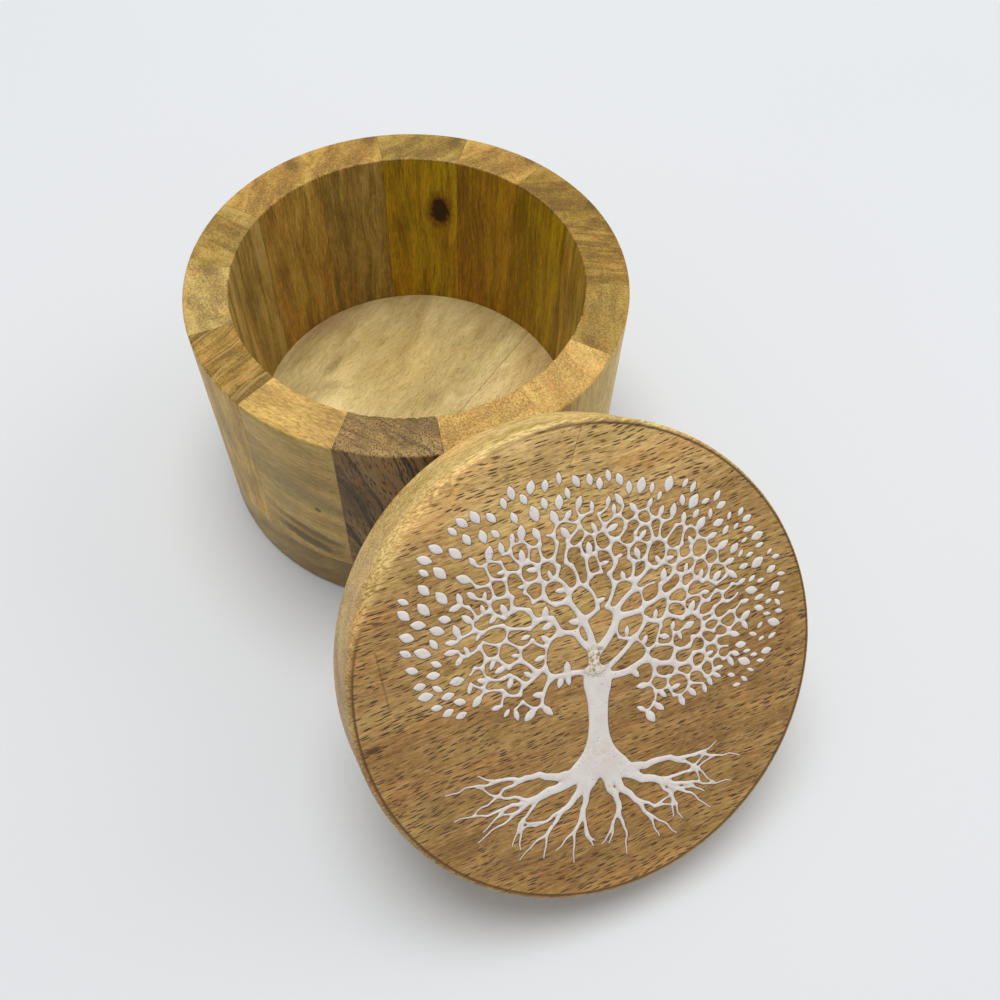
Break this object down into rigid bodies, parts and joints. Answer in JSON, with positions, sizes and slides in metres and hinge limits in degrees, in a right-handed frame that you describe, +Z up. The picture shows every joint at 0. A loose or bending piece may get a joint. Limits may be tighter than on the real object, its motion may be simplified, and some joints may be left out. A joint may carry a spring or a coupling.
{
  "type": "wooden box",
  "caption": "Round keepsake box of glued wooden staves with a thick loose lid, carved and filled with a white tree, leaning on its front.",
  "frame": {"origin": "centre of the box's flat underside, on the axis of the round box", "axes": "+Z up along the axis of the box; the lid leans on the -Y side; +X to the right of someone who faces the lid"},
  "size_m": [0.1, 0.1795, 0.0782],
  "materials": {
    "amber": "satin mango wood, amber with dark streaks",
    "golden": "satin mango wood, golden",
    "straw": "satin mango wood, pale straw",
    "tan": "satin mango wood, tan",
    "umber": "satin mango wood, umber",
    "walnut": "satin mango wood, dark grey-brown",
    "moss": "satin mango wood, olive yellow",
    "floor": "satin mango wood, cream tan",
    "lid": "satin mango wood, medium brown with short dark pores",
    "plug": "sanded mango wood, tan",
    "filling": "matt white filling, faintly pink"
  },
  "bodies": {
    "box": {"stave_01": "amber", "stave_02": "golden", "stave_03": "walnut", "stave_04": "golden", "stave_05": "straw", "stave_06": "umber", "stave_07": "moss", "stave_08": "umber", "stave_09": "tan", "stave_10": "tan", "stave_11": "golden", "stave_12": "amber", "stave_13": "moss", "stave_14": "straw", "base_board_back": "floor", "base_board_front": "floor"},
    "lid": {"lid_board": "lid", "lid_plug": "plug", "tree_inlay": "filling", "leaf_01": "filling", "leaf_02": "filling", "leaf_03": "filling", "leaf_04": "filling", "leaf_05": "filling", "leaf_06": "filling", "leaf_07": "filling", "leaf_08": "filling", "leaf_09": "filling", "leaf_10": "filling", "leaf_11": "filling", "leaf_12": "filling", "leaf_13": "filling", "leaf_14": "filling", "leaf_15": "filling", "leaf_16": "filling", "leaf_17": "filling", "leaf_18": "filling", "leaf_19": "filling", "leaf_20": "filling", "leaf_21": "filling", "leaf_22": "filling", "leaf_23": "filling", "leaf_24": "filling", "leaf_25": "filling", "leaf_26": "filling", "leaf_27": "filling", "leaf_28": "filling", "leaf_29": "filling", "leaf_30": "filling", "leaf_31": "filling", "leaf_32": "filling", "leaf_33": "filling", "leaf_34": "filling", "leaf_35": "filling", "leaf_36": "filling"}
  },
  "joints": [
    {"name": "lid_lift", "type": "slide", "parent": "box", "child": "lid", "axis": [0, 0, 1], "range_m": [0, 0.08]}
  ]
}
